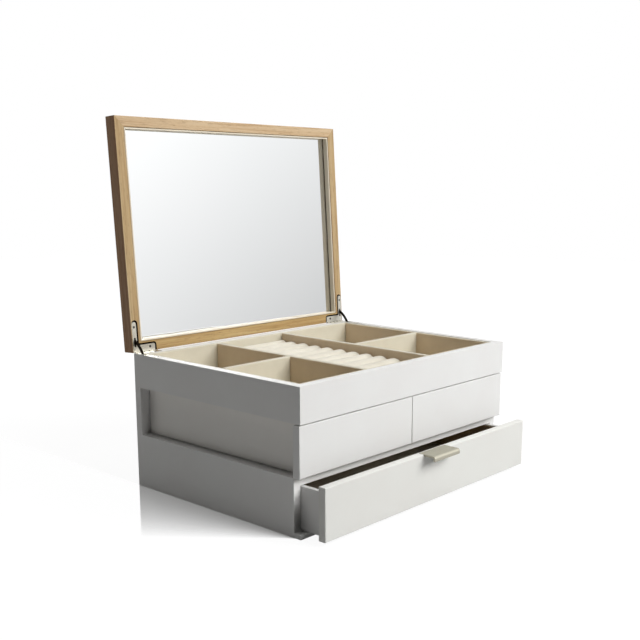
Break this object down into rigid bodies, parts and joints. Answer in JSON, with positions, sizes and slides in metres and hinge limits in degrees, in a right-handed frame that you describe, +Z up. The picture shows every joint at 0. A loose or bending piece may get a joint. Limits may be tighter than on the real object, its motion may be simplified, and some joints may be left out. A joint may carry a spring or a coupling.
{
  "type": "wooden jewelry gift box",
  "caption": "White painted wooden jewelry box with a mirrored oak lid on quadrant hinges, a lined tray with ring rolls, paired small drawers and a wide bottom drawer.",
  "frame": {"origin": "middle of the base plate's underside, on the surface the box stands on", "axes": "+Z up, -Y out of the drawer fronts, +X to the right when facing the fronts"},
  "size_m": [0.343, 0.3347, 0.4018],
  "materials": {
    "white_paint": "satin white paint on wood",
    "cream_paint": "satin cream paint on wood",
    "oak": "clear matt lacquer on oak",
    "plywood": "plain thin plywood",
    "suede_lining": "short beige suede cloth",
    "ring_roll_fabric": "beige suede cloth over foam",
    "mirror": "silvered glass",
    "nickel": "satin nickel plate",
    "champagne_nickel": "satin champagne nickel",
    "dark_steel": "dark bronzed steel"
  },
  "bodies": {
    "case": {"base_plate": "white_paint", "back_panel": "white_paint", "deck": "white_paint", "lower_side_left": "white_paint", "lower_side_right": "white_paint", "middle_side_left": "white_paint", "middle_side_right": "white_paint", "centre_divider": "white_paint", "tray_floor": "white_paint", "tray_front": "white_paint", "tray_back": "white_paint", "tray_left": "white_paint", "tray_right": "white_paint", "tray_floor_lining": "suede_lining", "liner_front": "suede_lining", "liner_back": "suede_lining", "liner_left": "suede_lining", "liner_right": "suede_lining", "partition_left": "suede_lining", "partition_right": "suede_lining", "cross_partition_left": "suede_lining", "cross_partition_right": "suede_lining", "ring_roll_insert": "ring_roll_fabric", "box_leaf_left": "nickel", "box_leaf_right": "nickel", "hinge_pin_left": "nickel", "hinge_pin_right": "nickel"},
    "lid": {"lid_rail_front": "oak", "lid_rail_back": "oak", "lid_stile_left": "oak", "lid_stile_right": "oak", "lid_panel": "oak", "mirror": "mirror", "mirror_slip_front": "cream_paint", "mirror_slip_back": "cream_paint", "mirror_slip_left": "cream_paint", "mirror_slip_right": "cream_paint", "lid_leaf_left": "nickel", "lid_leaf_right": "nickel"},
    "stay_left": {"left_stay": "dark_steel"},
    "stay_right": {"right_stay": "dark_steel"},
    "drawer_left": {"left_drawer_front": "white_paint", "left_drawer_side_left": "white_paint", "left_drawer_side_right": "white_paint", "left_drawer_back": "white_paint", "left_drawer_bottom": "plywood", "left_drawer_lining": "suede_lining"},
    "drawer_right": {"right_drawer_front": "white_paint", "right_drawer_side_left": "white_paint", "right_drawer_side_right": "white_paint", "right_drawer_back": "white_paint", "right_drawer_bottom": "plywood", "right_drawer_lining": "suede_lining"},
    "drawer_bottom": {"bottom_drawer_front": "white_paint", "bottom_drawer_side_left": "white_paint", "bottom_drawer_side_right": "white_paint", "bottom_drawer_back": "white_paint", "bottom_drawer_bottom": "plywood", "bottom_drawer_lining": "suede_lining", "tab_pull": "champagne_nickel"}
  },
  "joints": [
    {"name": "lid_hinge", "type": "hinge", "parent": "case", "child": "lid", "pos_m": [0, 0.1278, 0.14818], "axis": [1, 0, 0], "range_deg": [0, 93.81]},
    {"name": "left_stay_turn", "type": "hinge", "parent": "case", "child": "stay_left", "pos_m": [-0.16725, 0.1278, 0.14818], "axis": [1, 0, 0], "range_deg": [0, 46.91]},
    {"name": "right_stay_turn", "type": "hinge", "parent": "case", "child": "stay_right", "pos_m": [0.16725, 0.1278, 0.14818], "axis": [1, 0, 0], "range_deg": [0, 46.91]},
    {"name": "left_drawer_slide", "type": "slide", "parent": "case", "child": "drawer_left", "axis": [0, -1, 0], "range_m": [0, 0.13]},
    {"name": "right_drawer_slide", "type": "slide", "parent": "case", "child": "drawer_right", "axis": [0, -1, 0], "range_m": [0, 0.13]},
    {"name": "bottom_drawer_slide", "type": "slide", "parent": "case", "child": "drawer_bottom", "axis": [0, -1, 0], "range_m": [-0.0318, 0.108]}
  ],
  "couplings": [
    {"joint": "left_stay_turn", "follows": "lid_hinge", "ratio": 0.5},
    {"joint": "right_stay_turn", "follows": "lid_hinge", "ratio": 0.5}
  ]
}
